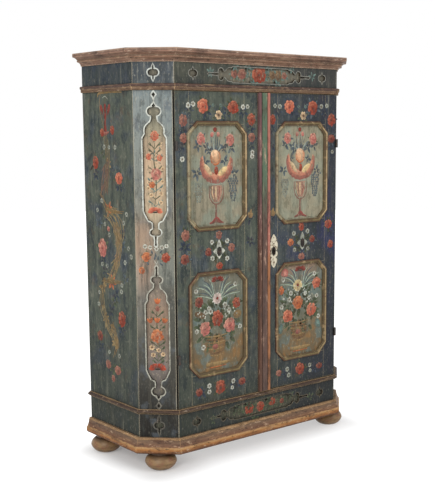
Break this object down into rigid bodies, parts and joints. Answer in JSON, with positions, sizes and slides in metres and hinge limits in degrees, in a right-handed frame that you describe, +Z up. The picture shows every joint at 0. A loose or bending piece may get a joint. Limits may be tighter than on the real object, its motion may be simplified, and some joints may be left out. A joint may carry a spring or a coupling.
{
  "type": "painted two-door cupboard",
  "caption": "Tall wooden cupboard with two framed and panelled doors, canted fret-cut front corners, stepped cornice, moulded base and turned bun feet.",
  "frame": {"origin": "middle of the whole outline on the floor, cornice included, between the four feet's soles", "axes": "+Z up, the doors look along -Y, +X to the right of someone facing them"},
  "size_m": [1.316, 0.586, 1.85],
  "materials": {
    "ground_paint": "old dark blue-green grey paint on softwood, worn and crackled",
    "recess_paint": "lighter grey-blue to cream paint behind the fretwork",
    "moulding_paint": "worn red-brown paint with pale rubbed edges",
    "base_paint": "worn ochre-brown paint with pale rubbed edges",
    "panel_moulding_paint": "ochre paint with a red-brown line, rubbed",
    "panel_paint": "sage grey paint, crackled",
    "batten_paint": "rust and salmon beads beside a green strip",
    "foot_wood": "olive-brown turned wood, satin",
    "bare_wood": "aged unpainted softwood",
    "iron": "dark wrought iron",
    "escutcheon_iron": "pale worn sheet iron"
  },
  "bodies": {
    "carcase": {"foot_front_left": "foot_wood", "foot_front_right": "foot_wood", "foot_rear_left": "foot_wood", "foot_rear_right": "foot_wood", "base_floor": "bare_wood", "base_moulding": "base_paint", "lower_band": "moulding_paint", "upper_band": "moulding_paint", "cornice": "moulding_paint", "left_side": "ground_paint", "right_side": "ground_paint", "left_cant_ground": "recess_paint", "right_cant_ground": "recess_paint", "left_cant_fret": "ground_paint", "right_cant_fret": "ground_paint", "left_door_post": "bare_wood", "right_door_post": "bare_wood", "plinth_ground": "recess_paint", "plinth_fret": "ground_paint", "frieze_ground": "recess_paint", "frieze_fret": "ground_paint", "cabinet_floor": "bare_wood", "top_board": "bare_wood", "back_boards": "bare_wood", "shelf_1": "bare_wood", "shelf_2": "bare_wood", "shelf_3": "bare_wood", "shelf_cleats": "bare_wood", "head_rail": "bare_wood", "sill_rail": "bare_wood", "hinge_pintles": "iron"},
    "left_door": {"left_hinge_stile": "ground_paint", "left_meeting_stile": "ground_paint", "left_bottom_rail": "ground_paint", "left_middle_rail": "ground_paint", "left_top_rail": "ground_paint", "left_lower_panel": "panel_paint", "left_upper_panel": "panel_paint", "left_corner_blocks": "ground_paint", "left_lower_moulding": "panel_moulding_paint", "left_upper_moulding": "panel_moulding_paint", "left_door_leaves": "iron", "left_door_staples": "iron"},
    "right_door": {"right_hinge_stile": "ground_paint", "right_meeting_stile": "ground_paint", "right_bottom_rail": "ground_paint", "right_middle_rail": "ground_paint", "right_top_rail": "ground_paint", "right_lower_panel": "panel_paint", "right_upper_panel": "panel_paint", "right_corner_blocks": "ground_paint", "right_lower_moulding": "panel_moulding_paint", "right_upper_moulding": "panel_moulding_paint", "right_door_leaves": "iron", "batten": "batten_paint", "lock_case": "iron", "escutcheon": "escutcheon_iron"},
    "lock_bolt": {"lock_bolt": "iron"},
    "left_top_bolt": {"left_top_bolt": "iron"},
    "left_bottom_bolt": {"left_bottom_bolt": "iron"}
  },
  "joints": [
    {"name": "left_door_swing", "type": "hinge", "parent": "carcase", "child": "left_door", "pos_m": [-0.481, -0.2525, 0.979], "axis": [0, 0, -1], "range_deg": [0, 135]},
    {"name": "right_door_swing", "type": "hinge", "parent": "carcase", "child": "right_door", "pos_m": [0.481, -0.2525, 0.979], "axis": [0, 0, 1], "range_deg": [0, 135]},
    {"name": "lock_bolt_slide", "type": "slide", "parent": "right_door", "child": "lock_bolt", "axis": [-1, 0, 0], "range_m": [0, 0.022]},
    {"name": "left_top_bolt_slide", "type": "slide", "parent": "left_door", "child": "left_top_bolt", "axis": [0, 0, 1], "range_m": [0, 0.02]},
    {"name": "left_bottom_bolt_slide", "type": "slide", "parent": "left_door", "child": "left_bottom_bolt", "axis": [0, 0, -1], "range_m": [0, 0.02]}
  ]
}
